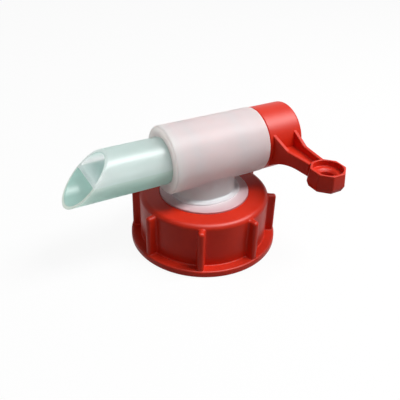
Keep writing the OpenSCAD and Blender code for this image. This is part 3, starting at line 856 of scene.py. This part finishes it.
def makeEye():
    hole, sink, edge, corner = (leverSizes[k] for k in ("eyeHole", "eyeSink", "eyeEdge", "eyeCorner"))
    half = leverSizes["eyeWidth"] / 2
    wide = half + leverSizes["eyeDraft"]
    inner = half - leverSizes["eyeRim"]
    top = leverSizes["top"] + leverSizes["eyeUp"]
    low = top - leverSizes["eyeHeight"]
    deep = top - leverSizes["eyeRecess"]
    turn = np.arctan2(*octagon(half, corner).T[::-1])
    quarter = [(edge * math.sin(a), edge * math.cos(a)) for a in angles(0, 90, meshSteps["edge"])]

    def eight(apothem, z):
        return flatRow(octagon(apothem, corner), z)

    rows = [ringRow(hole, low + edge, turn), ringRow(hole + edge, low, turn)]
    rows += [eight(wide - leverSizes["eyeTaperIn"], low), eight(wide, low + leverSizes["eyeTaperUp"])]
    rows += [eight(half - edge + c, top - edge + s) for s, c in quarter]
    rows += [ringRow(inner + edge - s, top - edge + c, turn) for s, c in quarter]
    rows += [ringRow(inner - edge + c, deep + edge - s, turn) for s, c in quarter]
    rows += [ringRow(hole + sink + edge, deep, turn), ringRow(hole + sink, deep - edge / 2, turn)]
    rows += [ringRow(hole + edge / 2, deep - sink, turn), ringRow(hole, deep - sink - edge, turn)]
    place = (armX, -leverSizes["reach"], axisZ)
    return loft("eye", [row + place for row in rows], tube=True)


lever = makeHub()
combine(lever, makeArm(), "UNION")
combine(lever, makeEye(), "UNION")
hollowHub(lever)
finishPiece(lever, "lever_handle", "valve", redPlastic, sharp=38)

# inner pieces keep their CAD meshes
for node, material in (("valve_plug", redPlastic), ("neck_gasket", foam), ("port_seal", rubber),
                       ("front_o_ring", rubber), ("rear_o_ring", rubber)):
    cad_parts[node].data.materials.clear()
    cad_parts[node].data.materials.append(material)
print("inner pieces dressed")

# floor, light and camera: metres and watts for the stage, millimetres and degrees for the shot
stage = {"floorSize": 4.0, "floorDrop": 0.0002, "floor": "#f2f2f2", "floorWhite": 0.93, "bounce": 0.22,
         "keyFrom": (0.4, -0.27, 0.875), "keyFar": 0.75, "keySize": (0.5, 0.2), "keyPower": 6.1,
         "cardFrom": (0.25, -0.27, 0.93), "cardFar": 0.72, "cardSize": (0.75, 0.5), "cardPower": 12.5,
         "ambient": 0.15}
shot = {"elevation": 33.34, "azimuth": -30.1, "roll": 1.69, "target": (-2.14, 0, 20.16), "far": 255.6,
        "lens": 45, "sensor": 36, "clipNear": 10}


def pathMix(tree, seen, lit):  # one look where it is seen or mirrored, another where it lights things
    path = addNode(tree, "ShaderNodeLightPath").outputs
    shown = path["Is Camera Ray"]
    for ray in ("Is Glossy Ray", "Is Transmission Ray"):
        shown = addNode(tree, "ShaderNodeMath", {0: shown, 1: path[ray]}, operation="MAXIMUM").outputs[0]
    return addNode(tree, "ShaderNodeMixShader", {0: shown, 1: lit, 2: seen}).outputs[0]


def makeFloor():
    half = stage["floorSize"] / 2 / mm
    level = -stage["floorDrop"] / mm
    corners = [(-half, -half, level), (half, -half, level), (half, half, level), (-half, half, level)]
    floor = newPiece("floor", corners, [(0, 1, 2, 3)])
    material, tree = newMaterial("pale floor")
    lit = addNode(tree, "ShaderNodeBsdfDiffuse", {"Color": (stage["bounce"],) * 3 + (1,)}).outputs[0]
    pale = addNode(tree, "ShaderNodeBsdfDiffuse", {"Color": srgb(stage["floor"])}).outputs[0]
    white = addNode(tree, "ShaderNodeEmission", {"Strength": 1.0}).outputs[0]
    seen = addNode(tree, "ShaderNodeMixShader", {0: stage["floorWhite"], 1: pale, 2: white}).outputs[0]
    addNode(tree, "ShaderNodeOutputMaterial", {"Surface": pathMix(tree, seen, lit)})
    floor.data.materials.append(material)


def makeWorld():
    world = bpy.data.worlds.new("studio")
    world.use_nodes = True
    tree = world.node_tree
    tree.nodes.clear()
    white = (1, 1, 1, 1)
    lit = addNode(tree, "ShaderNodeBackground", {"Color": white, "Strength": stage["ambient"]}).outputs[0]
    seen = addNode(tree, "ShaderNodeBackground", {"Color": white, "Strength": 1.0}).outputs[0]
    addNode(tree, "ShaderNodeOutputWorld", {"Surface": pathMix(tree, seen, lit)})
    scene.world = world


def makeLight(name, direction, far, size, power):  # faces the origin, with its length along X
    lamp = bpy.data.lights.new(name, "AREA")
    lamp.shape = "RECTANGLE"
    lamp.size, lamp.size_y = size
    lamp.energy = power
    light = bpy.data.objects.new(name, lamp)
    away = Vector(direction).normalized()
    depth = away.cross((1, 0, 0)).normalized()
    axes = Matrix((depth.cross(away), depth, away)).transposed().to_4x4()
    light.matrix_world = Matrix.Translation(away * far) @ axes
    scene.collection.objects.link(light)
    return light


def makeCamera():
    elevation, azimuth, roll = (math.radians(shot[k]) for k in ("elevation", "azimuth", "roll"))
    right = Vector((math.cos(azimuth), math.sin(azimuth), 0))
    back = Vector((math.sin(azimuth), -math.cos(azimuth), 0)) * math.cos(elevation)
    back.z = math.sin(elevation)
    axes = Matrix((right, back.cross(right), back)).transposed() @ Matrix.Rotation(roll, 3, "Z")
    lens = bpy.data.cameras.new("camera")
    lens.lens = shot["lens"]
    lens.sensor_width = shot["sensor"]
    lens.clip_start = shot["clipNear"] * mm
    camera = bpy.data.objects.new("camera", lens)
    place = Vector(shot["target"]) + back * shot["far"]
    camera.matrix_world = Matrix.Translation(place * mm) @ axes.to_4x4()
    scene.collection.objects.link(camera)
    scene.camera = camera


makeFloor()
makeWorld()
makeLight("softbox", stage["keyFrom"], stage["keyFar"], stage["keySize"], stage["keyPower"])
card = makeLight("card", stage["cardFrom"], stage["cardFar"], stage["cardSize"], stage["cardPower"])
card.visible_diffuse = False  # it only shows as a broad sheen in the glossy plastics
card.visible_transmission = False
makeCamera()
scene.view_settings.view_transform = "Standard"
print("stage set")
